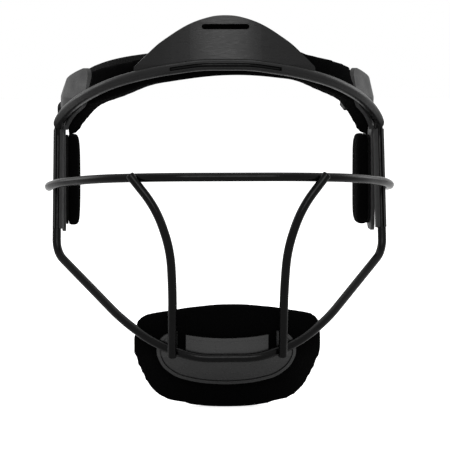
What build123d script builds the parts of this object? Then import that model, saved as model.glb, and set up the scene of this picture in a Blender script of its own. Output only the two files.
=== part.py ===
from build123d import *
import math
import os

# Softball face guard: a welded wire cage with a moulded brow shell, two temple
# plates, a chin cup, foam pads and a rear strap. Millimetres. The head sits at
# the origin and looks along -Y, +Z is up and +X is the wearer's left.

os.makedirs("parts", exist_ok=True)

# Wire cage
wire_diameter = 4.9
weld_overlap = 0.3
wire_gap = 0.15
wire_end_round = 0.8

# Centre of the perimeter wire at the brow, temples, cheeks and chin
brow_reach = 105.0
brow_height = 66.2
temple_half_span = 92.3
temple_reach = 40.0
temple_height = 31.0
cheek_half_span = 93.4
cheek_reach = 50.0
cheek_drop = 41.5
chin_reach = 120.0
chin_drop = 94.8

# Corners of the wire's path, as shares of the way between two of those places
brow_path_shares = [
    (0.060, 0.177, 0.241),
    (0.177, 0.477, 0.506),
    (0.350, 0.732, 0.727),
    (0.572, 0.900, 0.889),
    (0.855, 1.000, 1.000),
]
chin_path_shares = [(0.390, 0.693, 0.647), (0.582, 0.893, 0.872), (0.818, 1.0, 1.0)]
bend_share = 0.45
cheek_bend_radius = 14.0

# Eye bar, welded outside the side legs, and the two cheek bars in front of it
eye_bar_reach = 136.0
eye_bar_height = 5.8
eye_bar_weld_share = 0.485
eye_bar_path_shares = [
    (0.0, -0.088, -0.06),
    (0.0, 0.123, 0.1),
    (0.062, 0.342, 0.4),
    (0.268, 0.737, 0.8),
    (0.629, 1.0, 1.0),
]
cheek_bar_top_half_span = 51.6
cheek_bar_foot_half_span = 29.1
cheek_bar_top_overrun = 2.0
cheek_bar_foot_overrun = 3.6
cheek_bar_foot_tuck = 0.9
cheek_bar_path_shares = [(0.610, -0.39, 0.18), (0.938, -0.32, 0.40), (1.0, 0.14, 0.63)]

# Brow shell: a channel over the brow wire with a visor above it
rail_height = 6.4
rail_wall = 1.6
rail_side_wall = 0.6
rail_corner = 3.0
rail_slot_height = 2.0
rail_slot_half_length = 30.0
rail_end_height = 32.0
visor_thickness = 2.4
visor_front_stand = 1.8
visor_lean = 12.0
visor_top_height = 93.6
visor_corner_half_width = 54.1
visor_corner_height = 61.2
visor_outline_shares = [
    (0.740, 0.426),
    (0.677, 0.520),
    (0.573, 0.642),
    (0.470, 0.756),
    (0.370, 0.850),
    (0.250, 0.930),
    (0.110, 0.990),
    (0.000, 1.000),
]
webbing_slot_length = 26.4
webbing_slot_width = 3.0
webbing_slot_height = 87.2
panel_half_width = 19.8
panel_depth = 0.5
outline_bend = 6.0

# Temple plates
plate_gap = 0.2
plate_thickness = 2.0
plate_rear = 10.0
lobe_front_reach = 63.0
lobe_top_height = 64.0
lobe_lean = 13.0
lobe_lean_height = 46.6
lobe_outline_shares = [
    (0.775, 0.563),
    (1.000, 0.680),
    (0.965, 0.950),
    (0.900, 1.000),
    (0.775, 0.966),
    (0.620, 0.908),
    (0.465, 0.860),
    (0.155, 0.780),
]
arm_outline_shares = [(0.13, -0.42), (0.22, 0.05), (0.26, 0.79), (0.43, 1.0), (0.92, 1.0)]
plate_rear_top_height = 41.0
plate_rear_foot_height = 19.0
arm_top_height = 30.0
arm_foot_drop = 30.3
arm_foot_reach = 46.0
plate_corner_reach = 5.0
channel_wall = 1.2
channel_mouth = 2.2
channel_top_height = 28.0
channel_foot_drop = 28.0
bar_notch_gap = 0.4

# Chin cup
cup_seat = 1.1
cup_thickness = 2.6
cup_lean = 28.0
cup_half_width = 38.9
cup_top_drop = 80.4
cup_foot_drop = 110.7
cup_outline_shares = [
    (0.000, 0.130),
    (0.350, 0.105),
    (0.600, 0.060),
    (0.694, 0.000),
    (0.880, 0.060),
    (0.980, 0.220),
    (1.000, 0.429),
    (0.920, 0.670),
    (0.720, 0.865),
    (0.386, 0.965),
    (0.000, 1.000),
]
cup_rim_width = 1.7
cup_rim_stand = 0.6
cup_slot_inner_half_span = 22.8
cup_slot_width = 4.6
cup_slot_foot_share = 0.366

# Pads and their hook tape
pad_gap = 0.3
hook_gap = 0.1
hook_thickness = 1.2
forehead_pad_thickness = 12.6
forehead_pad_half_length = 119.0
forehead_pad_top_height = 91.0
forehead_pad_end_height = 23.5
forehead_pad_shares = [
    (0.000, 0.544, 1.000, 1),
    (0.172, 0.527, 0.933, 1),
    (0.277, 0.505, 0.825, 1),
    (0.378, 0.480, 0.724, 1),
    (0.521, 0.401, 0.667, 1),
    (0.655, 0.338, 0.625, 1),
    (0.782, 0.274, 0.585, 1),
    (0.891, 0.170, 0.519, 1),
    (0.954, 0.084, 0.459, 0.92),
    (1.000, 0.000, 0.407, 0.76),
]
forehead_pad_bend_share = 0.8
forehead_pad_skew = 5.0
temple_pad_thickness = 6.4
temple_pad_front_reach = 38.5
temple_pad_rear_reach = 8.0
temple_pad_top_height = 25.2
temple_pad_foot_drop = 27.5
temple_pad_corner = 9.0
chin_pad_thickness = 11.6
chin_pad_half_length = 59.4
chin_pad_shift = 2.6
chin_pad_top_height = -66.0
chin_pad_foot_height = -125.0
chin_pad_shares = [
    (0.000, 0.000, 1.000, 1),
    (0.155, 0.003, 0.996, 1),
    (0.310, 0.011, 0.981, 1),
    (0.460, 0.026, 0.963, 1),
    (0.600, 0.048, 0.938, 1),
    (0.730, 0.060, 0.918, 1),
    (0.855, 0.098, 0.891, 1),
    (0.934, 0.150, 0.855, 1),
    (0.976, 0.228, 0.790, 1),
    (1.000, 0.320, 0.705, 1),
]
chin_pad_bend_share = 0.465
pad_edge_round = 3.0
pad_back_round = 1.2

# Hook tape patches that hold the pads
forehead_hook_half_length = 10.0
forehead_hook_spacing = 27.0
forehead_hook_foot_height = 69.6
forehead_hook_top_height = 76.6
chin_hook_half_span = 15.0
chin_hook_half_length = 7.0
chin_hook_top_drop = 84.5
chin_hook_foot_drop = 94.0
temple_hook_margin = 0.8

# Rear strap, doubled through a slot in each temple plate
strap_width = 12.0
strap_thickness = 1.5
strap_gap = 0.3
strap_slot_height = 33.0
strap_slot_clearance = 1.3
strap_slot_end_gap = 0.9
strap_post_round = 0.9
strap_post = 5.5
strap_back_reach = 99.0
strap_back_height = 66.0
strap_path_shares = [
    (0.000, 0.090, 0.066),
    (0.137, 0.571, 0.660),
    (0.360, 0.843, 0.860),
    (0.771, 1.000, 1.000),
]
tail_join_share = 0.20
tail_end_share = 0.72
keeper_share = 0.50
keeper_length = 8.0
keeper_wall = 1.2
keeper_gap = 0.3

overrun = 20.0

wire_radius = wire_diameter / 2
clearance_radius = wire_radius + wire_gap
rail_front = clearance_radius + rail_wall
cut_reach = brow_reach + chin_reach


def between(start, end, shares):
    """Point whose x, y and z lie at the given shares of the way from start to end."""
    return tuple(a + share * (b - a) for a, b, share in zip(start, end, shares))


def bend_radii(points):
    """Largest bend at each corner that leaves both runs beside it some straight wire."""
    radii = []
    for a, b, c in zip(points, points[1:], points[2:]):
        before, after = Vector(*b) - Vector(*a), Vector(*c) - Vector(*b)
        half_turn = math.radians(before.get_angle(after)) / 2
        radii.append(bend_share * min(before.length, after.length) / math.tan(half_turn))
    return radii


def bent_path(points, radii=None):
    """Straight runs through the points, joined by tangent arcs."""
    with BuildLine() as path:
        FilletPolyline(*points, radius=radii or bend_radii(points))
    return path.wires()[0]


def place_where(path, reached, low=0.0, high=1.0):
    """Place along the path between low and high from which on reached holds."""
    for _ in range(40):
        middle = (low + high) / 2
        if reached(path @ middle):
            high = middle
        else:
            low = middle
    return low


def outward(path, place):
    """Level direction that points away from the head at a place on the path."""
    along = path % place
    side = Vector(along.Y, -along.X, 0).normalized()
    return side if side.dot(Vector((path @ place).X, (path @ place).Y, 0)) > 0 else side * -1


def both_sides(points):
    """The points, from the right of the head to the left, with their mirror images."""
    return [(-x, y) for x, y in reversed(points)] + list(points)


# Corners of the perimeter wire on the +X side
temple_corner = (temple_half_span, -temple_reach, temple_height)
cheek_corner = (cheek_half_span, -cheek_reach, -cheek_drop)
brow_middle = (0, -brow_reach, brow_height)
chin_middle = (0, -chin_reach, -chin_drop)
brow_points = [between(temple_corner, brow_middle, s) for s in brow_path_shares][::-1]
chin_points = [between(cheek_corner, chin_middle, s) for s in chin_path_shares]
perimeter_points = [
    brow_middle, *brow_points, temple_corner, cheek_corner, *chin_points, chin_middle
]
perimeter_radii = bend_radii(perimeter_points)
perimeter_radii[perimeter_points.index(cheek_corner) - 1] = cheek_bend_radius
perimeter_path = bent_path(perimeter_points, perimeter_radii)
leg_direction = (Vector(*cheek_corner) - Vector(*temple_corner)).normalized()

# Eye bar, from the middle of the face to its end outside the leg
leg_at_weld = between(temple_corner, cheek_corner, [eye_bar_weld_share] * 3)
bar_weld = (leg_at_weld[0] + wire_diameter - weld_overlap, *leg_at_weld[1:])
bar_middle = (0, -eye_bar_reach, eye_bar_height)
bar_points = [bar_middle] + [between(bar_weld, bar_middle, s) for s in eye_bar_path_shares][::-1]
eye_bar_path = bent_path(bar_points)

# Cheek bar, in front of the eye bar at its top and of the chin wire at its foot
bar_place = place_where(eye_bar_path, lambda p: p.X > cheek_bar_top_half_span)
chin_place = place_where(perimeter_path, lambda p: p.X < cheek_bar_foot_half_span, low=0.7)
weld_reach = wire_diameter - weld_overlap
cheek_top = eye_bar_path @ bar_place + outward(eye_bar_path, bar_place) * weld_reach
cheek_foot = perimeter_path @ chin_place + outward(perimeter_path, chin_place) * weld_reach
cheek_top += Vector(0, 0, cheek_bar_top_overrun)
cheek_foot += Vector(0, cheek_bar_foot_tuck, -cheek_bar_foot_overrun)
cheek_points = [tuple(cheek_top)]
cheek_points += [between(cheek_top, cheek_foot, s) for s in cheek_bar_path_shares]
cheek_points += [tuple(cheek_foot)]
cheek_path = bent_path(cheek_points)

# Plan lines of the wire, which sheets and pads follow at an inset towards the head
plate_rear_point = (cheek_half_span, plate_rear + overrun)
brow_half_plan = [p[:2] for p in [*brow_points, temple_corner]] + [plate_rear_point]
brow_plan = both_sides(brow_half_plan)
chin_plan = both_sides([p[:2] for p in reversed(chin_points)] + [cheek_corner[:2]])
side_plan = [(temple_half_span, -chin_reach), temple_corner[:2], plate_rear_point]


def add_tube(path, radius, mode=Mode.ADD):
    """Round bar of the given radius along the path, in the open part."""
    with BuildSketch(Plane(origin=path @ 0, z_dir=path % 0)) as section:
        Circle(radius)
    sweep(section.sketch, path=path, mode=mode)


def plan_band(plan, height, inset, thickness):
    """Level sketch of a band that follows a plan line, from inset to inset plus thickness."""
    with BuildSketch(Plane.XY.offset(height)) as band:
        with BuildLine():
            FilletPolyline(*plan, radius=bend_radii([(x, y, 0) for x, y in plan]))
            offset(amount=abs(inset), side=Side.LEFT if inset > 0 else Side.RIGHT, closed=False)
            offset(amount=thickness, side=Side.RIGHT if inset > 0 else Side.LEFT, closed=True)
        make_face()
    return band.sketch


def sheet(plan, inset, thickness, bend_height, rise, drop, rise_lean=(0, 0), drop_lean=(0, 0)):
    """Sheet standing on a plan line, leaning from bend_height up and down by the given slopes."""
    band = plan_band(plan, bend_height, inset, thickness)
    upper = extrude(band, amount=rise, dir=(*rise_lean, 1))
    return upper + extrude(band, amount=drop, dir=(*drop_lean, -1))


def rounded_face(plane, points, reach):
    """Face with tangent arcs for corners, none of which takes more than reach of a side."""
    radii = []
    for a, b, c in zip([points[-1], *points], points, [*points[1:], points[0]]):
        before, after = Vector(*b) - Vector(*a), Vector(*c) - Vector(*b)
        half_turn = math.radians(before.get_angle(after)) / 2
        taken = min(reach, bend_share * min(before.length, after.length))
        radii.append(taken / math.tan(half_turn) if half_turn else 0)
    with BuildSketch(plane) as outline:
        with BuildLine():
            FilletPolyline(*points, radius=radii, close=True)
        make_face()
    return outline.sketch


def front_outline(points, reach):
    """Face in the front view from the points of its half at x >= 0, from x = 0 to x = 0."""
    return rounded_face(Plane.XZ, [*points, *[(-x, z) for x, z in points[-2:0:-1]]], reach)


def pad_sections(plan, inset, thickness, half_length, low, high, shares, bend, rise, drop,
                 skew=0, shift=0):
    """Rounded cross sections of a pad along a plan line, at shares of its half length.

    Each has its foot and top at shares of the way from low to high and a share of the
    thickness, and leans in by the slope rise above its bend and by the slope drop below it.
    The pad sits off the middle by shift, and skew lifts its +X half and drops the other.
    """
    with BuildLine() as line:
        FilletPolyline(*plan, radius=bend_radii([(x, y, 0) for x, y in plan]))
        offset(amount=inset, side=Side.LEFT, closed=False, mode=Mode.REPLACE)
    path = line.wires()[0]
    turn = 1 if (path @ 1).X > (path @ 0).X else -1
    mirrored = [(-run, *rest) for run, *rest in shares[:0:-1]]
    for run, foot_share, top_share, thickness_share in [*mirrored, *shares]:
        place = 0.5 + turn * (run * half_length + shift) / path.length
        along = (path % place) * turn
        spot = Vector((path @ place).X, (path @ place).Y, 0)
        lift = skew * run * (1 - abs(run))
        foot = low + foot_share * (high - low) + lift
        top = low + top_share * (high - low) + lift
        bend_height = top - bend * (top - foot)
        side = [(rise * (top - bend_height), top), (0, bend_height),
                (drop * (bend_height - foot), foot)]
        back = [(thickness * thickness_share + x, z) for x, z in reversed(side)]
        with BuildSketch(Plane(origin=spot, x_dir=(-along.Y, along.X, 0), z_dir=along)) as section:
            with BuildLine():
                Polyline(*side, *back, close=True)
            make_face()
            ends = section.vertices().group_by(Axis.Y)
            fillet([end.sort_by(Axis.X)[-1] for end in (ends[0], ends[-1])], pad_edge_round)
            ends = section.vertices().group_by(Axis.Y)
            fillet([end.sort_by(Axis.X)[0] for end in (ends[0], ends[-1])], pad_back_round)
        yield section.sketch


def prism(outline):
    """Solid through the whole part behind an outline of the front or side view."""
    return extrude(outline, amount=cut_reach, both=True)


with BuildPart() as perimeter_wire:
    add_tube(perimeter_path, wire_radius)
    mirror(about=Plane.YZ)
perimeter_wire.part.label = "perimeter_wire"
export_step(perimeter_wire.part, "parts/perimeter_wire.step")

with BuildPart() as eye_bar:
    add_tube(eye_bar_path, wire_radius)
    fillet(eye_bar.edges().filter_by(GeomType.CIRCLE).sort_by(Axis.Y)[-1], wire_end_round)
    mirror(about=Plane.YZ)
eye_bar.part.label = "eye_bar"
export_step(eye_bar.part, "parts/eye_bar.step")

with BuildPart() as cheek_bar_left:
    add_tube(cheek_path, wire_radius)
    bar_ends = cheek_bar_left.edges().filter_by(GeomType.CIRCLE).sort_by(Axis.Z)
    fillet([bar_ends[0], bar_ends[-1]], wire_end_round)
cheek_bar_left.part.label = "cheek_bar_left"
export_step(cheek_bar_left.part, "parts/cheek_bar_left.step")

with BuildPart() as cheek_bar_right:
    mirror(cheek_bar_left.part, about=Plane.YZ)
cheek_bar_right.part.label = "cheek_bar_right"
export_step(cheek_bar_right.part, "parts/cheek_bar_right.step")

# The shell's rail follows the wire from the middle down to the temple
rail_end = place_where(perimeter_path, lambda p: p.Z < rail_end_height)
rail_path = perimeter_path.trim(0, rail_end)
rail_guide = Pos(0, 0, overrun) * rail_path
visor_rise = visor_top_height - visor_corner_height
visor_outline = [(x * visor_corner_half_width, visor_corner_height + z * visor_rise)
                 for x, z in visor_outline_shares]
rail_line = [(p[0], p[2]) for p in (brow_middle, *brow_points[:2])]
visor_corner = (visor_corner_half_width, visor_corner_height)
lean_slope = math.tan(math.radians(visor_lean))
visor_sheet = sheet(brow_plan, -visor_front_stand, visor_thickness, brow_height,
                    overrun * 2, overrun, rise_lean=(0, lean_slope))
visor_prism = prism(front_outline([*rail_line, visor_corner, *visor_outline], outline_bend))
visor = visor_sheet & visor_prism
panel_sheet = sheet(brow_plan, -visor_front_stand - panel_depth, panel_depth + visor_thickness / 2,
                    brow_height, overrun * 2, overrun, rise_lean=(0, lean_slope))
panel = panel_sheet & visor_prism & Box(panel_half_width * 2, cut_reach * 2, cut_reach * 2)
slot_place = place_where(perimeter_path, lambda p: p.X > rail_slot_half_length)
slot_path = perimeter_path.trim(0, slot_place)
rail_side = temple_half_span + clearance_radius + rail_side_wall
rail_plane = Plane(origin=rail_path @ 0, x_dir=(0, -1, 0), z_dir=rail_path % 0)
with BuildPart() as brow_shell:
    add(visor)
    add(panel)
    with BuildSketch(rail_plane) as rail:
        with Locations((rail_front / 2, 0)):
            Rectangle(rail_front, rail_height)
        fillet(rail.vertices().group_by(Axis.X)[-1], rail_corner)
    sweep(path=rail_path, binormal=rail_guide)
    split(bisect_by=Plane.YZ.offset(rail_side), keep=Keep.BOTTOM)
    split(bisect_by=Plane.YZ, keep=Keep.TOP)
    with BuildSketch(rail_plane) as rail_slot:
        with Locations((rail_front, 0)):
            Rectangle(rail_front * 2, rail_slot_height)
    sweep(path=slot_path, binormal=Pos(0, 0, overrun) * slot_path, mode=Mode.SUBTRACT)
    add_tube(perimeter_path, clearance_radius, mode=Mode.SUBTRACT)
    mirror(about=Plane.YZ)
    with BuildSketch(Plane.XZ) as webbing_slot:
        with Locations((0, webbing_slot_height)):
            SlotOverall(webbing_slot_length, webbing_slot_width)
    extrude(amount=cut_reach, mode=Mode.SUBTRACT)
brow_shell.part.label = "brow_shell"
export_step(brow_shell.part, "parts/brow_shell.step")

# Plates: an arm beside the leg and a lobe that leans in behind the rail
lobe_slope = math.tan(math.radians(lobe_lean))
plate_inset = wire_radius + plate_gap
plate_outline = [(-y * lobe_front_reach, z * lobe_top_height) for y, z in lobe_outline_shares]
plate_outline += [(plate_rear, plate_rear_top_height), (plate_rear, plate_rear_foot_height)]
plate_outline += [(-y * arm_foot_reach, -z * arm_foot_drop) for y, z in arm_outline_shares]
plate_outline += [(-temple_reach, channel_top_height)]
plate_prism = prism(rounded_face(Plane.YZ, plate_outline, plate_corner_reach))
left_half = Pos(cut_reach / 2, 0, 0) * Box(cut_reach, cut_reach * 2, cut_reach * 2)
arm_sheet = sheet(side_plan, plate_inset, plate_thickness, arm_top_height, plate_gap, cut_reach)
lobe_sheet = sheet(brow_plan, plate_inset, plate_thickness, lobe_lean_height, overrun * 2,
                   lobe_lean_height - channel_top_height, rise_lean=(-lobe_slope, 0))
plate_arm = arm_sheet & plate_prism & left_half
plate_lobe = lobe_sheet & plate_prism & left_half
channel_top = (channel_top_height - temple_height) / leg_direction.Z
channel_foot = (-channel_foot_drop - temple_height) / leg_direction.Z
channel_plane = Plane(origin=Vector(*temple_corner) + leg_direction * channel_top,
                      x_dir=(1, 0, 0), z_dir=leg_direction)
slot_rear = plate_rear - strap_post
slot_width = strap_thickness + strap_slot_clearance
slot_height = strap_width + strap_slot_end_gap * 2
post_line = bent_path([(x, y, strap_slot_height) for x, y in side_plan])
post_reach = slot_rear + plate_thickness / 2
post_place = place_where(post_line, lambda p: p.Y > post_reach)
post_x = (post_line @ post_place).X - plate_inset - plate_thickness / 2
post_middle = Vector(post_x, slot_rear, strap_slot_height)
with BuildPart() as temple_plate_left:
    add(plate_arm)
    add(plate_lobe)
    with BuildSketch(channel_plane) as channel:
        Circle(clearance_radius + channel_wall)
        with Locations((wire_radius, 0)):
            Rectangle(wire_diameter, wire_diameter * 2, align=(Align.MIN, Align.CENTER),
                      mode=Mode.SUBTRACT)
    extrude(amount=channel_foot - channel_top)
    with BuildSketch(channel_plane) as mouth:
        with Locations((0, wire_diameter)):
            Rectangle(channel_mouth, wire_diameter * 2)
    extrude(amount=channel_foot - channel_top, mode=Mode.SUBTRACT)
    add_tube(perimeter_path, clearance_radius, mode=Mode.SUBTRACT)
    add_tube(eye_bar_path, wire_radius + bar_notch_gap, mode=Mode.SUBTRACT)
    with BuildSketch(Plane.YZ) as strap_slot:
        with Locations((slot_rear - slot_width / 2, strap_slot_height)):
            Rectangle(slot_width, slot_height)
    extrude(amount=chin_reach, mode=Mode.SUBTRACT)
    post_edges = temple_plate_left.edges().filter_by(Axis.Z).sort_by_distance(post_middle)[:2]
    fillet(post_edges, strap_post_round)
temple_plate_left.part.label = "temple_plate_left"
export_step(temple_plate_left.part, "parts/temple_plate_left.step")

with BuildPart() as temple_plate_right:
    mirror(temple_plate_left.part, about=Plane.YZ)
temple_plate_right.part.label = "temple_plate_right"
export_step(temple_plate_right.part, "parts/temple_plate_right.step")

# Chin cup: upright above the wire, leaning back below it, with a raised rim
cup_slope = math.tan(math.radians(cup_lean))
cup_depth = cup_foot_drop - cup_top_drop
cup_outline = front_outline([(x * cup_half_width, -cup_top_drop - z * cup_depth)
                             for x, z in cup_outline_shares], outline_bend)
cup_slot_foot = -cup_top_drop - cup_slot_foot_share * cup_depth
cup_blank = sheet(chin_plan, cup_seat - cup_rim_stand, cup_thickness + cup_rim_stand, -chin_drop,
                  overrun, overrun, drop_lean=(0, cup_slope)) & prism(cup_outline)
cup_field = sheet(chin_plan, cup_seat - overrun / 4, overrun / 4, -chin_drop, overrun, overrun,
                  drop_lean=(0, cup_slope)) & prism(offset(cup_outline, -cup_rim_width))
with BuildPart() as chin_cup:
    add(cup_blank)
    add(cup_field, mode=Mode.SUBTRACT)
    for side in (-1, 1):
        with BuildSketch(Plane.XZ) as cup_slot:
            slot_centre = cup_slot_inner_half_span + cup_slot_width / 2
            with Locations((side * slot_centre, cup_slot_foot)):
                Rectangle(cup_slot_width, cup_foot_drop, align=(Align.CENTER, Align.MIN))
        extrude(amount=cut_reach, mode=Mode.SUBTRACT)
    add_tube(perimeter_path, clearance_radius, mode=Mode.SUBTRACT)
    add_tube(perimeter_path.mirror(Plane.YZ), clearance_radius, mode=Mode.SUBTRACT)
chin_cup.part.label = "chin_cup"
export_step(chin_cup.part, "parts/chin_cup.step")

# Pads: curved cushions behind the plastic pieces
lobe_side = Pos(cut_reach / 2, cut_reach - lobe_front_reach - pad_gap, 0) * Box(
    cut_reach, cut_reach * 2, cut_reach * 2)
lobe_space = sheet(brow_plan, wire_gap, plate_inset + plate_thickness + pad_gap - wire_gap,
                   lobe_lean_height, overrun * 2, overrun * 2, rise_lean=(-lobe_slope, 0)) & lobe_side
forehead_sections = list(pad_sections(
    brow_plan, wire_radius + pad_gap, forehead_pad_thickness, forehead_pad_half_length,
    forehead_pad_end_height, forehead_pad_top_height, forehead_pad_shares,
    forehead_pad_bend_share, lean_slope, 0, skew=forehead_pad_skew))
with BuildPart() as forehead_pad:
    loft(forehead_sections)
    add(lobe_space, mode=Mode.SUBTRACT)
    add(lobe_space.mirror(Plane.YZ), mode=Mode.SUBTRACT)
forehead_pad.part.label = "forehead_pad"
export_step(forehead_pad.part, "parts/forehead_pad.step")

chin_pad_inset = cup_seat + cup_thickness + hook_gap + hook_thickness + pad_gap
chin_sections = list(pad_sections(
    chin_plan, chin_pad_inset, chin_pad_thickness, chin_pad_half_length,
    chin_pad_foot_height, chin_pad_top_height, chin_pad_shares, chin_pad_bend_share, 0, cup_slope,
    shift=chin_pad_shift))
with BuildPart() as chin_pad:
    loft(chin_sections)
chin_pad.part.label = "chin_pad"
export_step(chin_pad.part, "parts/chin_pad.step")

# Hook tape patches behind the visor and the chin cup
hook_sheet = sheet(brow_plan, visor_thickness - visor_front_stand + hook_gap, hook_thickness,
                   brow_height, overrun, overrun, rise_lean=(0, lean_slope))
hook_rise = forehead_hook_top_height - forehead_hook_foot_height
hook_middle_height = (forehead_hook_top_height + forehead_hook_foot_height) / 2
forehead_hooks = [
    hook_sheet & Pos(side * forehead_hook_spacing, -brow_reach, hook_middle_height)
    * Box(forehead_hook_half_length * 2, brow_reach, hook_rise)
    for side in (1, 0, -1)
]
with BuildPart() as forehead_hook_left:
    add(forehead_hooks[0])
forehead_hook_left.part.label = "forehead_hook_left"
export_step(forehead_hook_left.part, "parts/forehead_hook_left.step")

with BuildPart() as forehead_hook_middle:
    add(forehead_hooks[1])
forehead_hook_middle.part.label = "forehead_hook_middle"
export_step(forehead_hook_middle.part, "parts/forehead_hook_middle.step")

with BuildPart() as forehead_hook_right:
    add(forehead_hooks[2])
forehead_hook_right.part.label = "forehead_hook_right"
export_step(forehead_hook_right.part, "parts/forehead_hook_right.step")

chin_hook_sheet = sheet(chin_plan, cup_seat + cup_thickness + hook_gap, hook_thickness,
                        -chin_hook_foot_drop, overrun, overrun)
chin_hook_drop = chin_hook_foot_drop - chin_hook_top_drop
chin_hook_middle = (chin_hook_foot_drop + chin_hook_top_drop) / 2
chin_hook = chin_hook_sheet & Pos(chin_hook_half_span, -chin_reach, -chin_hook_middle) * Box(
    chin_hook_half_length * 2, chin_reach, chin_hook_drop)
with BuildPart() as chin_hook_left:
    add(chin_hook)
chin_hook_left.part.label = "chin_hook_left"
export_step(chin_hook_left.part, "parts/chin_hook_left.step")

with BuildPart() as chin_hook_right:
    mirror(chin_hook_left.part, about=Plane.YZ)
chin_hook_right.part.label = "chin_hook_right"
export_step(chin_hook_right.part, "parts/chin_hook_right.step")

# Temple pads: cushions with round corners on hook tape inside the arms
pad_middle_reach = (temple_pad_front_reach + temple_pad_rear_reach) / 2
pad_middle_height = (temple_pad_top_height - temple_pad_foot_drop) / 2
pad_length = temple_pad_front_reach - temple_pad_rear_reach
pad_height = temple_pad_top_height + temple_pad_foot_drop
arm_inside = temple_half_span - plate_inset - plate_thickness
with BuildPart() as temple_hook_left:
    with BuildSketch(Plane.YZ.offset(arm_inside - hook_gap)) as hook:
        with Locations((-pad_middle_reach, pad_middle_height)):
            RectangleRounded(pad_length - temple_hook_margin * 2,
                             pad_height - temple_hook_margin * 2,
                             temple_pad_corner - temple_hook_margin)
    extrude(amount=-hook_thickness)
temple_hook_left.part.label = "temple_hook_left"
export_step(temple_hook_left.part, "parts/temple_hook_left.step")

with BuildPart() as temple_hook_right:
    mirror(temple_hook_left.part, about=Plane.YZ)
temple_hook_right.part.label = "temple_hook_right"
export_step(temple_hook_right.part, "parts/temple_hook_right.step")

with BuildPart() as temple_pad_left:
    with BuildSketch(Plane.YZ.offset(arm_inside - hook_gap * 2 - hook_thickness)) as pad:
        with Locations((-pad_middle_reach, pad_middle_height)):
            RectangleRounded(pad_length, pad_height, temple_pad_corner)
    extrude(amount=-temple_pad_thickness)
    fillet(temple_pad_left.faces().sort_by(Axis.X)[0].edges(), pad_edge_round)
temple_pad_left.part.label = "temple_pad_left"
export_step(temple_pad_left.part, "parts/temple_pad_left.step")

with BuildPart() as temple_pad_right:
    mirror(temple_pad_left.part, about=Plane.YZ)
temple_pad_right.part.label = "temple_pad_right"
export_step(temple_pad_right.part, "parts/temple_pad_right.step")

# Rear strap: from the back of the head through the slot, round its post and back
loop_half = (plate_thickness + strap_thickness) / 2 + strap_gap
strap_back = (0, strap_back_reach, strap_back_height)
strap_inner = (post_x - loop_half, post_reach - loop_half, strap_slot_height)
strap_outer = (post_x + loop_half, post_reach - loop_half, strap_slot_height)
strap_run = [between(strap_inner, strap_back, s) for s in strap_path_shares]
run_start, run_end = Vector(*strap_run[0]), Vector(*strap_run[1])
run_direction = (run_end - run_start).normalized()
run_normal = Vector(run_direction.Y, -run_direction.X, 0).normalized()
layer_step = run_normal * (strap_thickness + strap_gap)
tail_turn = (strap_outer[0], *strap_run[0][1:])
tail_join = run_start + (run_end - run_start) * tail_join_share + layer_step
tail_end = run_start + (run_end - run_start) * tail_end_share + layer_step
strap_points = [strap_back, *strap_run[::-1], strap_inner, strap_outer, tail_turn]
strap_points += [tuple(tail_join), tuple(tail_end)]
strap_path = bent_path(strap_points)
with BuildPart() as rear_strap:
    with BuildSketch(Plane(origin=strap_back, x_dir=(0, 1, 0), z_dir=strap_path % 0)) as webbing:
        Rectangle(strap_thickness, strap_width)
    sweep(path=strap_path, binormal=Pos(0, 0, overrun) * strap_path)
    mirror(about=Plane.YZ)
rear_strap.part.label = "rear_strap"
export_step(rear_strap.part, "parts/rear_strap.step")

# Keepers slide along the doubled part of the strap
keeper_centre = run_start + (run_end - run_start) * keeper_share + layer_step / 2
keeper_opening = strap_thickness * 2 + strap_gap + keeper_gap * 2
keeper_inside = strap_width + keeper_gap * 2
keeper_origin = keeper_centre - run_direction * keeper_length / 2
with BuildPart() as strap_keeper_left:
    with BuildSketch(Plane(origin=keeper_origin, x_dir=run_normal, z_dir=run_direction)) as ring:
        Rectangle(keeper_opening + keeper_wall * 2, keeper_inside + keeper_wall * 2)
        Rectangle(keeper_opening, keeper_inside, mode=Mode.SUBTRACT)
    extrude(amount=keeper_length)
strap_keeper_left.part.label = "strap_keeper_left"
export_step(strap_keeper_left.part, "parts/strap_keeper_left.step")

with BuildPart() as strap_keeper_right:
    mirror(strap_keeper_left.part, about=Plane.YZ)
strap_keeper_right.part.label = "strap_keeper_right"
export_step(strap_keeper_right.part, "parts/strap_keeper_right.step")
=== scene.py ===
# %% [markdown]
# # A face guard for ball games
#
# The guard is a black wire cage that carries a moulded brow shell, two temple plates, a chin cup,
# four foam pads and a strap for the back of the head. The rigid pieces come from the CAD frame and
# get their finishes here. The soft pieces are made again here, because foam and webbing have round
# edges, a nap and a weave that a plain solid doesn't show.

import math

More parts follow.
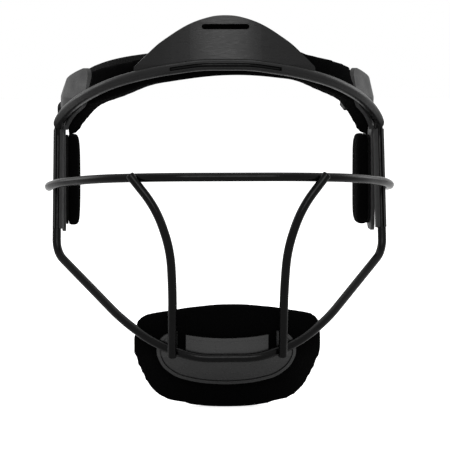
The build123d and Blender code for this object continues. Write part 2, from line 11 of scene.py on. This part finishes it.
import bmesh
import bpy
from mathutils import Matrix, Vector


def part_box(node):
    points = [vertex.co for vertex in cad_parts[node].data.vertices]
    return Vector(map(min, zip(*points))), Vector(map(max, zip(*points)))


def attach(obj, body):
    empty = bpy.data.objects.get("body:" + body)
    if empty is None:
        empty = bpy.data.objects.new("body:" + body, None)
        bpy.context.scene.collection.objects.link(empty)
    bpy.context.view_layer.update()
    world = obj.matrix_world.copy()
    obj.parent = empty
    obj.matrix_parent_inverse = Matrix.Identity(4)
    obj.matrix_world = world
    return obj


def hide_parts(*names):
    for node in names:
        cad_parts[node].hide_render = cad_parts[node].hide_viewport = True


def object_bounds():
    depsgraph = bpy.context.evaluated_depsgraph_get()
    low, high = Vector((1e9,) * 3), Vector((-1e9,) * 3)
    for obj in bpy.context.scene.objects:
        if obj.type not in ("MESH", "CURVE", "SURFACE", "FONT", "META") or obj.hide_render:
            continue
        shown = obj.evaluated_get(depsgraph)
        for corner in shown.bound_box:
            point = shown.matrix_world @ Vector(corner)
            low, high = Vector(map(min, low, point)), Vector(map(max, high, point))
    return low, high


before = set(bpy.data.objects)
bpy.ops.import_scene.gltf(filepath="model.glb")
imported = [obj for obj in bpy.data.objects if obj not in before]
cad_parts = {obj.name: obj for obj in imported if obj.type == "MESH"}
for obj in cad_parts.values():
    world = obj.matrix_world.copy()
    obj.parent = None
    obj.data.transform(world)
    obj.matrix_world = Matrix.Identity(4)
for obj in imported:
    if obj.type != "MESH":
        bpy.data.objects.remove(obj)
cad_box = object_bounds()
GUARD = "guard"

# %% [markdown]
# ## Camera
#
# The photograph looks along the head's front from a little above and a little to one side. A long
# lens, far away, keeps the near eye bar from growing against the temples. The camera stands on a
# turned and raised line from the head's middle, and aims at the middle of the picture.

# %% Camera
VIEW_TURN = math.radians(3.3)
VIEW_RISE = math.radians(3.0)
VIEW_DISTANCE = 1.8
VIEW_LENS = 245.0
SENSOR_WIDTH = 36.0
VIEW_AIM = Vector((0.0058, -0.0019, -0.0296))

camera_data = bpy.data.cameras.new("camera")
camera_data.lens = VIEW_LENS
camera_data.sensor_width = SENSOR_WIDTH
camera = bpy.data.objects.new("camera", camera_data)
bpy.context.scene.collection.objects.link(camera)
level_distance = VIEW_DISTANCE * math.cos(VIEW_RISE)
camera.location = (
    -level_distance * math.sin(VIEW_TURN),
    -level_distance * math.cos(VIEW_TURN),
    VIEW_DISTANCE * math.sin(VIEW_RISE),
)
camera.rotation_euler = (VIEW_AIM - camera.location).to_track_quat("-Z", "Y").to_euler()
bpy.context.scene.camera = camera
print("camera stands at", [round(x, 3) for x in camera.location])

# %% [markdown]
# ## Material helpers
#
# Every finish starts from one Principled shader. Small helpers cover what most finishes here need:
# a noise counted in features to a metre on the object itself, a range that spreads the noise over a
# roughness, a mix of two near-blacks, and a bump that turns a grey value into relief. Black things
# are never quite black or quite even, and these four give them their small changes.

# %% Material helpers
# Noise rarely leaves this middle range, so the range is what spread maps onto its own ends.
NOISE_LOW = 0.3
NOISE_HIGH = 0.7


def black(level, cool=0.0):
    """A near-black of one level, with a little more blue where cool is given."""
    return (level, level, level + cool)


def new_finish(name, color, roughness, specular=0.5):
    """A material with one Principled shader, and its node tree and shader."""
    material = bpy.data.materials.new(name)
    material.use_nodes = True
    tree = material.node_tree
    shader = tree.nodes["Principled BSDF"]
    shader.inputs["Base Color"].default_value = (*color, 1)
    shader.inputs["Roughness"].default_value = roughness
    shader.inputs["Specular IOR Level"].default_value = specular
    return material, tree, shader


def noise(tree, per_metre, detail=3.0, stretch=(1, 1, 1)):
    """Noise on the object, with this many features to a metre, as a value from 0 to 1."""
    place = tree.nodes.new("ShaderNodeTexCoord")
    scale = tree.nodes.new("ShaderNodeMapping")
    scale.inputs["Scale"].default_value = stretch
    tree.links.new(place.outputs["Object"], scale.inputs["Vector"])
    texture = tree.nodes.new("ShaderNodeTexNoise")
    texture.inputs["Scale"].default_value = per_metre
    texture.inputs["Detail"].default_value = detail
    tree.links.new(scale.outputs["Vector"], texture.inputs["Vector"])
    return texture.outputs["Fac"]


def spread(tree, value, low, high):
    """Maps a noise's middle range onto low to high."""
    ramp = tree.nodes.new("ShaderNodeMapRange")
    ramp.inputs["From Min"].default_value = NOISE_LOW
    ramp.inputs["From Max"].default_value = NOISE_HIGH
    ramp.inputs["To Min"].default_value = low
    ramp.inputs["To Max"].default_value = high
    tree.links.new(value, ramp.inputs["Value"])
    return ramp.outputs["Result"]


def tint(tree, value, low, high):
    """Mixes two colours by a value: low where it is 0, high where it is 1."""
    mix = tree.nodes.new("ShaderNodeMix")
    mix.data_type = "RGBA"
    mix.inputs["A"].default_value = (*low, 1)
    mix.inputs["B"].default_value = (*high, 1)
    tree.links.new(value, mix.inputs["Factor"])
    return mix.outputs["Result"]


def relief(tree, value, depth, under=None):
    """Bump of the given depth in metres, on top of another bump if there is one."""
    bump = tree.nodes.new("ShaderNodeBump")
    bump.inputs["Distance"].default_value = depth
    tree.links.new(value, bump.inputs["Height"])
    if under is not None:
        tree.links.new(under, bump.inputs["Normal"])
    return bump.outputs["Normal"]


def dress(names, material):
    """Puts a material on CAD pieces."""
    for name in names:
        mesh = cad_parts[name].data
        mesh.materials.clear()
        mesh.materials.append(material)
    print(material.name, "on", ", ".join(names))


# %% [markdown]
# ## Cage coating
#
# The wire is dipped or powder coated, so its black skin is smooth but not flat: it has the faint
# dimples of a coating that flowed while it was hot, and slightly duller and shinier stretches.

# %% Cage coating
def coated_wire():
    material, tree, shader = new_finish("cage_coating", black(0.001), roughness=0.22, specular=0.1)
    dimples = noise(tree, per_metre=900, detail=1.0)
    gloss = spread(tree, noise(tree, per_metre=45), low=0.16, high=0.26)
    tree.links.new(gloss, shader.inputs["Roughness"])
    skin = noise(tree, per_metre=160)
    color = tint(tree, skin, low=black(0.0005), high=black(0.002, cool=0.0001))
    tree.links.new(color, shader.inputs["Base Color"])
    tree.links.new(relief(tree, dimples, depth=0.00006), shader.inputs["Normal"])
    return material


dress(["perimeter_wire", "eye_bar", "cheek_bar_left", "cheek_bar_right"], coated_wire())

# %% [markdown]
# ## Moulded plastic
#
# The brow shell and the chin cup came out of a polished mould: a gloss black skin with faint
# flow waves and fine handling scratches. The temple plates came out of a grained mould, so they
# look greyer, with a fine pebble that breaks up the light. The strap keepers are plain satin.

# %% Gloss shell
def gloss_shell(name, specular):
    """Polished black plastic; specular says how much of the room it mirrors."""
    material, tree, shader = new_finish(name, black(0.004), roughness=0.3, specular=specular)
    scuffs = noise(tree, per_metre=260, detail=6.0, stretch=(1, 1, 7))
    tree.links.new(spread(tree, scuffs, low=0.24, high=0.4), shader.inputs["Roughness"])
    skin = noise(tree, per_metre=70)
    color = tint(tree, skin, low=black(0.003), high=black(0.007, cool=0.0002))
    tree.links.new(color, shader.inputs["Base Color"])
    waves = relief(tree, noise(tree, per_metre=30, detail=1.0), depth=0.0004)
    fine = relief(tree, noise(tree, per_metre=1500, detail=2.0), depth=0.00002, under=waves)
    tree.links.new(fine, shader.inputs["Normal"])
    return material


dress(["brow_shell"], gloss_shell("shell_plastic", specular=0.2))
dress(["chin_cup"], gloss_shell("shell_plastic_cup", specular=0.5))


# %% Grained plate
def grained_plate():
    material, tree, shader = new_finish("plate_plastic", black(0.015), roughness=0.5, specular=0.26)
    place = tree.nodes.new("ShaderNodeTexCoord")
    pebbles = tree.nodes.new("ShaderNodeTexVoronoi")
    pebbles.feature = "SMOOTH_F1"
    pebbles.inputs["Scale"].default_value = 1400
    tree.links.new(place.outputs["Object"], pebbles.inputs["Vector"])
    skin = noise(tree, per_metre=220)
    color = tint(tree, skin, low=black(0.009), high=black(0.022, cool=0.0005))
    tree.links.new(color, shader.inputs["Base Color"])
    gloss = spread(tree, noise(tree, per_metre=90), low=0.42, high=0.58)
    tree.links.new(gloss, shader.inputs["Roughness"])
    grain = relief(tree, pebbles.outputs["Distance"], depth=0.0001)
    tree.links.new(grain, shader.inputs["Normal"])
    return material


dress(["temple_plate_left", "temple_plate_right"], grained_plate())


# %% Keepers
def satin_keeper():
    material, tree, shader = new_finish("keeper_plastic", black(0.012), roughness=0.45, specular=0.3)
    gloss = spread(tree, noise(tree, per_metre=300), low=0.38, high=0.52)
    tree.links.new(gloss, shader.inputs["Roughness"])
    skin = noise(tree, per_metre=400)
    color = tint(tree, skin, low=black(0.009), high=black(0.015, cool=0.0005))
    tree.links.new(color, shader.inputs["Base Color"])
    grain = relief(tree, noise(tree, per_metre=2500), depth=0.00003)
    tree.links.new(grain, shader.inputs["Normal"])
    return material


dress(["strap_keeper_left", "strap_keeper_right"], satin_keeper())

# %% [markdown]
# ## Hook tape
#
# The pads are held by patches of hook tape. Its stiff little hooks stand in rows. Hooks made as
# geometry would cost many thousands of faces, so a fine cell pattern stands for them, which is
# enough at this size because the pads hide nearly all of it.

# %% Hook tape
def hook_tape():
    material, tree, shader = new_finish("hook_tape", black(0.003), roughness=0.9, specular=0.05)
    place = tree.nodes.new("ShaderNodeTexCoord")
    hooks = tree.nodes.new("ShaderNodeTexVoronoi")
    hooks.inputs["Scale"].default_value = 900
    hooks.inputs["Randomness"].default_value = 0.3
    tree.links.new(place.outputs["Object"], hooks.inputs["Vector"])
    color = tint(tree, hooks.outputs["Distance"], low=black(0.006), high=black(0.001))
    tree.links.new(color, shader.inputs["Base Color"])
    rows = relief(tree, hooks.outputs["Distance"], depth=0.0005)
    tree.links.new(rows, shader.inputs["Normal"])
    return material


hook_nodes = sorted(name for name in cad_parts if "_hook_" in name)
dress(hook_nodes, hook_tape())

# %% [markdown]
# ## Pads
#
# Each pad is foam wrapped in a brushed black fabric, the kind that hook tape grips. It swallows
# nearly all light: no gloss, a very dark nap, and a faint sheen at the edges. The form comes from
# the CAD cushion. It is remeshed into an even net, blown up a little as cloth, and then pulled
# back wherever it doesn't face the head, so that it can't press into the plastic in front of it.

# %% Pad fabric
def brushed_fabric():
    material, tree, shader = new_finish("pad_fabric", black(0.001), roughness=1.0, specular=0.01)
    shader.inputs["Sheen Weight"].default_value = 0.004
    shader.inputs["Sheen Roughness"].default_value = 0.5
    nap = noise(tree, per_metre=1100, detail=4.0)
    color = tint(tree, nap, low=black(0.0003), high=black(0.0022, cool=0.0001))
    tree.links.new(color, shader.inputs["Base Color"])
    soft = relief(tree, noise(tree, per_metre=90, detail=2.0), depth=0.0006)
    tree.links.new(relief(tree, nap, depth=0.0004, under=soft), shader.inputs["Normal"])
    return material


PAD_FABRIC = brushed_fabric()
print("made", PAD_FABRIC.name)

# %% [markdown]
# ## Pad cloth
#
# A pad could be carved by hand or blown up as cloth; cloth gives foam's even fullness for little
# work. The cloth runs without gravity, so the pad swells and doesn't sag. The cap keeps the puff
# small. The temple pads get less, because the head space between them has to stay open.

# %% Pad cloth
PAD_VOXEL = 0.0022
PAD_PRESSURE = 4.0
PAD_CAP = 0.0022
TEMPLE_PAD_CAP = 0.0006
PAD_FRAMES = 20


def puffed_pad(node, cap=PAD_CAP):
    """A cloth cushion from a CAD pad, fuller towards the head by at most cap metres."""
    pad = bpy.data.objects.new(node + "_cushion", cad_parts[node].data.copy())
    bpy.context.scene.collection.objects.link(pad)
    pad.data.materials.clear()
    pad.data.materials.append(PAD_FABRIC)
    bpy.context.view_layer.objects.active = pad
    remesh = pad.modifiers.new("net", "REMESH")
    remesh.mode = "VOXEL"
    remesh.voxel_size = PAD_VOXEL
    bpy.ops.object.modifier_apply(modifier="net")
    rest = [v.co.copy() for v in pad.data.vertices]
    normals = [v.normal.copy() for v in pad.data.vertices]
    blow_up(pad)
    for vertex, home, normal in zip(pad.data.vertices, rest, normals):
        move = vertex.co - home
        facing = max(0.0, normal.dot(towards_middle(home)))
        vertex.co = home + move.normalized() * min(move.length, cap * facing)
    smooth = pad.modifiers.new("smooth", "SUBSURF")
    smooth.levels = smooth.render_levels = 1
    bpy.ops.object.modifier_apply(modifier="smooth")
    pad.data.polygons.foreach_set("use_smooth", [True] * len(pad.data.polygons))
    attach(pad, GUARD)
    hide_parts(node)
    print(pad.name, "has", len(pad.data.vertices), "points")
    return pad


def blow_up(pad):
    """Runs the pad as cloth under pressure, without gravity, and keeps its last shape."""
    cloth = pad.modifiers.new("cloth", "CLOTH")
    cloth.settings.use_pressure = True
    cloth.settings.uniform_pressure_force = PAD_PRESSURE
    cloth.settings.effector_weights.gravity = 0
    cloth.point_cache.frame_end = PAD_FRAMES
    for step in range(1, PAD_FRAMES + 1):
        bpy.context.scene.frame_set(step)
    bpy.ops.object.modifier_apply(modifier="cloth")
    bpy.context.scene.frame_set(1)


def towards_middle(point):
    """Level direction from a point to the middle of the head."""
    return Vector((-point.x, -point.y, 0)).normalized()


# %% Pads
forehead_pad = puffed_pad("forehead_pad")
chin_pad = puffed_pad("chin_pad")
temple_pads = [puffed_pad("temple_pad_" + side, TEMPLE_PAD_CAP) for side in ("left", "right")]

# %% [markdown]
# ## Rear strap
#
# The strap is woven webbing, 12 mm wide. It runs round the back of the head, through a slot in each
# temple plate, round the post and back on itself. A ribbon with rounded edges is drawn along a line
# of straight runs and arcs. The line is worked out from the CAD strap's own box, so the two agree.

# %% Strap line
STRAP_WIDTH = 0.012
STRAP_THICKNESS = 0.0015
STRAP_LAYER_GAP = 0.0003
PLATE_THICKNESS = 0.002
LOOP_WIDTH = PLATE_THICKNESS + STRAP_THICKNESS + 2 * STRAP_LAYER_GAP
STRAP_SHARES = [(0.0, 0.09, 0.066), (0.137, 0.571, 0.66), (0.36, 0.843, 0.86), (0.771, 1, 1)]
TAIL_JOIN_SHARE = 0.2
TAIL_END_SHARE = 0.72

strap_low, strap_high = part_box("rear_strap")
outer_x = strap_high.x - STRAP_THICKNESS / 2
turn_y = strap_low.y + STRAP_THICKNESS / 2
slot_z = strap_low.z + STRAP_WIDTH / 2
strap_slot = Vector((outer_x - LOOP_WIDTH, turn_y, slot_z))
strap_back = Vector((0, strap_high.y - STRAP_THICKNESS / 2, strap_high.z - STRAP_WIDTH / 2))
print("strap runs from", [round(x, 4) for x in strap_slot], "to", [round(x, 4) for x in strap_back])


def on_the_way(shares):
    """Point that lies, on each axis, at a share of the way from the slot to the back."""
    step = strap_back - strap_slot
    return strap_slot + Vector([share * part for share, part in zip(shares, step)])


run = [on_the_way(shares) for shares in STRAP_SHARES]
run_way = (run[1] - run[0]).normalized()
layer_step = Vector((run_way.y, -run_way.x, 0)).normalized() * (STRAP_THICKNESS + STRAP_LAYER_GAP)
tail = [
    Vector((outer_x, turn_y, slot_z)),
    Vector((outer_x, run[0].y, run[0].z)),
    run[0].lerp(run[1], TAIL_JOIN_SHARE) + layer_step,
    run[0].lerp(run[1], TAIL_END_SHARE) + layer_step,
]
half_line = [strap_back, *run[::-1], strap_slot, *tail]


# %% Strap mesh
BEND_SHARE = 0.45
BEND_STEPS = 8
RUN_STEP = 0.004
EDGE_STEPS = 4


def rounded_line(corners):
    """Points along straight runs whose corners are turned into arcs."""
    points = [corners[0]]
    for before, corner, after in zip(corners, corners[1:], corners[2:]):
        reach = BEND_SHARE * min((corner - before).length, (after - corner).length)
        start = corner + (before - corner).normalized() * reach
        end = corner + (after - corner).normalized() * reach
        weight = math.cos((corner - before).angle(after - corner) / 2)
        for step in range(BEND_STEPS + 1):
            t = step / BEND_STEPS
            a, b, c = (1 - t) ** 2, 2 * t * (1 - t) * weight, t * t
            points.append((start * a + corner * b + end * c) / (a + b + c))
    points.append(corners[-1])
    return points


def stepped(points):
    """The same line with no step longer than RUN_STEP."""
    line = [points[0]]
    for a, b in zip(points, points[1:]):
        count = max(1, math.ceil((b - a).length / RUN_STEP))
        line += [a.lerp(b, k / count) for k in range(1, count + 1)]
    return line


def ribbon_outline():
    """Cross section of the webbing, as (across, through), with half-round edges."""
    radius = STRAP_THICKNESS / 2
    flat = STRAP_WIDTH / 2 - radius
    ring = []
    for side, start in ((1, -math.pi / 2), (-1, math.pi / 2)):
        for step in range(EDGE_STEPS + 1):
            angle = start + math.pi * step / EDGE_STEPS
            ring.append((side * flat + radius * math.cos(angle), radius * math.sin(angle)))
    return ring


def ribbon(name, line):
    """Webbing along a line, upright, with a map in metres: across, along."""
    outline = ribbon_outline()
    mesh = bmesh.new()
    uv = mesh.loops.layers.uv.new("weave")
    rings, lengths = [], [0.0]
    for index, point in enumerate(line):
        before, after = line[max(index - 1, 0)], line[min(index + 1, len(line) - 1)]
        way = (after - before).normalized()
        up = (Vector((0, 0, 1)) - way * way.z).normalized()
        out = way.cross(up)
        rings.append([mesh.verts.new(point + up * a + out * b) for a, b in outline])
        if index:
            lengths.append(lengths[-1] + (point - line[index - 1]).length)
    count = len(outline)
    for index in range(len(rings) - 1):
        for k in range(count):
            corners = [(index, k), (index, (k + 1) % count), (index + 1, (k + 1) % count), (index + 1, k)]
            face = mesh.faces.new([rings[i][j] for i, j in corners])
            face.smooth = True
            for loop, (i, j) in zip(face.loops, corners):
                loop[uv].uv = (outline[j][0], lengths[i])
    mesh.faces.new(rings[0][::-1])
    mesh.faces.new(rings[-1])
    bmesh.ops.recalc_face_normals(mesh, faces=mesh.faces)
    data = bpy.data.meshes.new(name)
    mesh.to_mesh(data)
    piece = bpy.data.objects.new(name, data)
    bpy.context.scene.collection.objects.link(piece)
    print(name, "is", round(lengths[-1], 3), "m long")
    return piece


half = stepped(rounded_line(half_line))
mirrored_half = [Vector((-p.x, p.y, p.z)) for p in half[:0:-1]]
strap = ribbon("rear_strap_webbing", mirrored_half + half)


# %% [markdown]
# ## Webbing weave
#
# Webbing has threads across and along. Two wave patterns, one for each direction, are multiplied to
# give a raised dot where threads cross. They are laid on the ribbon's own map, not on the object,
# so that the weave follows the strap round its bends. Fine noise adds the fuzz. The same dots also set the
# colour, lighter on the crossings and darker in the hollows between them, as painted shade.

# %% Webbing weave
ACROSS_PER_METRE = 330
ALONG_PER_METRE = 260
THREAD_WANDER = 0.4


def woven_webbing():
    material, tree, shader = new_finish("webbing", black(0.004), roughness=0.75, specular=0.1)
    shader.inputs["Sheen Weight"].default_value = 0.01
    uv = tree.nodes.new("ShaderNodeUVMap")
    uv.uv_map = "weave"
    weaves = []
    for direction, per_metre in (("X", ACROSS_PER_METRE), ("Y", ALONG_PER_METRE)):
        wave = tree.nodes.new("ShaderNodeTexWave")
        wave.bands_direction = direction
        wave.inputs["Scale"].default_value = per_metre
        wave.inputs["Distortion"].default_value = THREAD_WANDER
        tree.links.new(uv.outputs["UV"], wave.inputs["Vector"])
        weaves.append(wave.outputs["Fac"])
    weave = tree.nodes.new("ShaderNodeMath")
    weave.operation = "MULTIPLY"
    tree.links.new(weaves[0], weave.inputs[0])
    tree.links.new(weaves[1], weave.inputs[1])
    thread_relief_and_shade = weave.outputs["Value"]
    # painted shade: the weave's hollows are coloured darker and its crossings lighter
    color = tint(tree, thread_relief_and_shade, low=black(0.001), high=black(0.006, cool=0.0002))
    tree.links.new(color, shader.inputs["Base Color"])
    fuzz = relief(tree, noise(tree, per_metre=2500), depth=0.0001)
    tree.links.new(relief(tree, thread_relief_and_shade, depth=0.00035, under=fuzz), shader.inputs["Normal"])
    return material


strap.data.materials.append(woven_webbing())
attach(strap, GUARD)
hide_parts("rear_strap")
print("strap has", len(strap.data.vertices), "points")

# %% [markdown]
# ## Floor
#
# The photograph is a product shot on white, so the floor is white too and lies right under the chin
# pad. It also glows, but to the camera alone: that hides where it ends and lights nothing.

# %% Floor
FLOOR_SIZE = 12.0
FLOOR_GLOW = 0.75

floor_mesh = bpy.data.meshes.new("floor")
half_size = FLOOR_SIZE / 2
floor_z = cad_box[0][2]
corners = [(-half_size, -half_size), (half_size, -half_size), (half_size, half_size), (-half_size, half_size)]
floor_mesh.from_pydata([(x, y, floor_z) for x, y in corners], [], [(0, 1, 2, 3)])
floor = bpy.data.objects.new("floor", floor_mesh)
bpy.context.scene.collection.objects.link(floor)


def white_floor():
    paint = (0.9, 0.9, 0.9)
    material, tree, shader = new_finish("floor_white", paint, roughness=0.9, specular=0.1)
    glow = tree.nodes.new("ShaderNodeEmission")
    seen = tree.nodes.new("ShaderNodeLightPath")
    share = tree.nodes.new("ShaderNodeMath")
    share.operation = "MULTIPLY"
    share.inputs[1].default_value = FLOOR_GLOW
    tree.links.new(seen.outputs["Is Camera Ray"], share.inputs[0])
    tree.links.new(share.outputs["Value"], glow.inputs["Strength"])
    both = tree.nodes.new("ShaderNodeAddShader")
    tree.links.new(shader.outputs["BSDF"], both.inputs[0])
    tree.links.new(glow.outputs["Emission"], both.inputs[1])
    tree.links.new(both.outputs["Shader"], tree.nodes["Material Output"].inputs["Surface"])
    return material


floor_mesh.materials.append(white_floor())
print("floor at", round(floor_z, 4), "m")

# %% [markdown]
# ## Background
#
# One white world would either look grey or light the guard too much. The light path tells the two
# uses apart: the world is full white to the camera, in reflections and through clear things, and
# gives a lower, even light to everything else.

# %% Background
WORLD_LIGHT = 0.55
world = bpy.data.worlds.new("white_room")
world.use_nodes = True
bpy.context.scene.world = world
sky = world.node_tree
background = sky.nodes["Background"]
background.inputs["Color"].default_value = (1, 1, 1, 1)
seen = sky.nodes.new("ShaderNodeLightPath")
direct = sky.nodes.new("ShaderNodeMath")
direct.operation = "MAXIMUM"
sky.links.new(seen.outputs["Is Camera Ray"], direct.inputs[0])
sky.links.new(seen.outputs["Is Transmission Ray"], direct.inputs[1])
mirror_too = sky.nodes.new("ShaderNodeMath")
mirror_too.operation = "MAXIMUM"
sky.links.new(direct.outputs["Value"], mirror_too.inputs[0])
sky.links.new(seen.outputs["Is Glossy Ray"], mirror_too.inputs[1])
level = sky.nodes.new("ShaderNodeMapRange")
level.inputs["To Min"].default_value = WORLD_LIGHT
level.inputs["To Max"].default_value = 1.0
sky.links.new(mirror_too.outputs["Value"], level.inputs["Value"])
sky.links.new(level.outputs["Result"], background.inputs["Strength"])
print("world gives", WORLD_LIGHT, "of white as light")

# %% [markdown]
# ## Lamps
#
# Black pieces show their shape only by what they mirror, so the lamps are broad and soft. One high
# in front shows the dark pieces, one above lights their tops, and one behind each side gives the
# long highlights on the bars and the lobes. All aim at the middle of the head.

# %% Lamps
# Each lamp has its place and size in metres, and its power in watts.
LAMPS = {
    "front": ((0.05, -1.5, 0.65), 0.8, 9),
    "top": ((0.0, 0.1, 1.6), 1.2, 8),
    "left_edge": ((-1.3, 0.6, 0.6), 0.8, 5),
    "right_edge": ((1.3, 0.6, 0.6), 0.8, 5),
}
for name, (place, size, watts) in LAMPS.items():
    lamp_data = bpy.data.lights.new(name, "AREA")
    lamp_data.size = size
    lamp_data.energy = watts
    lamp = bpy.data.objects.new(name, lamp_data)
    lamp.location = place
    lamp.rotation_euler = (-Vector(place)).to_track_quat("-Z", "Y").to_euler()
    bpy.context.scene.collection.objects.link(lamp)
bpy.context.scene.view_settings.view_transform = "Standard"
print("lamps:", ", ".join(LAMPS))
